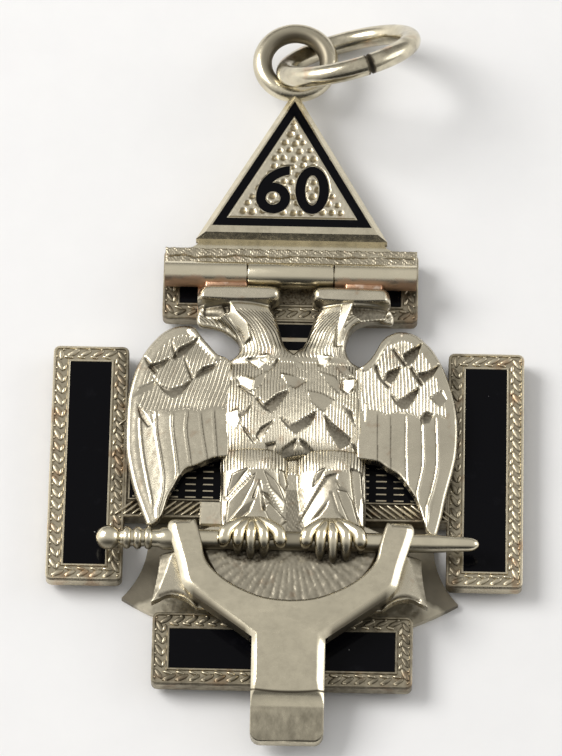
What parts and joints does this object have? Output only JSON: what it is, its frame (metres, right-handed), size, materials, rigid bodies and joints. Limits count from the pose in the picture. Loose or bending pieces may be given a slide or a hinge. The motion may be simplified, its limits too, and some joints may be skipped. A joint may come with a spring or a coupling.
{
  "type": "watch fob",
  "caption": "Folding watch fob: cross with enamelled bars, hinged two-headed eagle leaf with sword and catch, triangular hanger, eye and split jump ring.",
  "frame": {"origin": "centre of the cross, on the flat back of the back plate", "axes": "+Z out of the face, +Y from the cross towards the hinge, triangle and jump ring, +X to the right seen from the front"},
  "size_m": [0.034, 0.057, 0.0089],
  "materials": {
    "polished_metal": "polished white metal, lightly scratched",
    "cross_metal": "polished rims, brown patina in the milled channels",
    "cast_metal": "cast and chased white metal, patina in the cuts",
    "stippled_metal": "stippled white metal with polished bevels",
    "black_enamel": "glossy hard enamel"
  },
  "bodies": {
    "cross": {"cross_frame": "cross_metal", "keystone_plate": "polished_metal", "enamel_left_bar": "black_enamel", "enamel_right_bar": "black_enamel", "enamel_bottom_bar": "black_enamel", "enamel_top_bar_left": "black_enamel", "enamel_top_bar_right": "black_enamel", "enamel_left_arm": "black_enamel", "enamel_right_arm": "black_enamel", "enamel_upper_arm": "black_enamel", "enamel_lower_arm": "black_enamel", "hanger": "stippled_metal", "enamel_triangle": "black_enamel", "numeral_left": "black_enamel", "numeral_right": "black_enamel", "jump_ring": "polished_metal", "hinge_pin": "polished_metal"},
    "leaf": {"knuckle_left": "polished_metal", "knuckle_right": "polished_metal", "eagle": "cast_metal", "sword": "polished_metal", "catch_yoke": "polished_metal"}
  },
  "joints": [
    {"name": "leaf_hinge", "type": "hinge", "parent": "cross", "child": "leaf", "pos_m": [0, 0.0146, 0.0028], "axis": [-1, 0, 0], "range_deg": [0, 125]}
  ]
}
